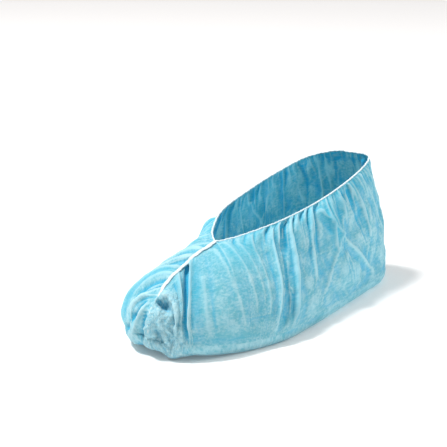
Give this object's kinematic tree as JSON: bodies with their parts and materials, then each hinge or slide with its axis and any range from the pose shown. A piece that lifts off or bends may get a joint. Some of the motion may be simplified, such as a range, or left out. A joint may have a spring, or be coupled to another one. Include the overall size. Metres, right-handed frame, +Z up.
{
  "type": "shoe cover",
  "caption": "Disposable shoe cover of thin blue nonwoven cloth, worn form, with a gathered elastic opening and a white seam up the toe.",
  "frame": {"origin": "on the inner face of the sole, on its centre line and midway between toe and heel, where the boot stands", "axes": "+Z up out of the opening, +Y towards the heel, +X towards the wearer's left, which is the outer side of the left foot that it is on"},
  "size_m": [0.1273, 0.3206, 0.1083],
  "materials": {
    "nonwoven_cloth": "matte spunbond nonwoven, thin enough to glow where light comes through",
    "white_trim": "matte white elastic and overlock thread"
  },
  "bodies": {
    "root": {"cover_body": "nonwoven_cloth", "opening_elastic": "white_trim", "instep_seam": "white_trim"}
  },
  "joints": []
}
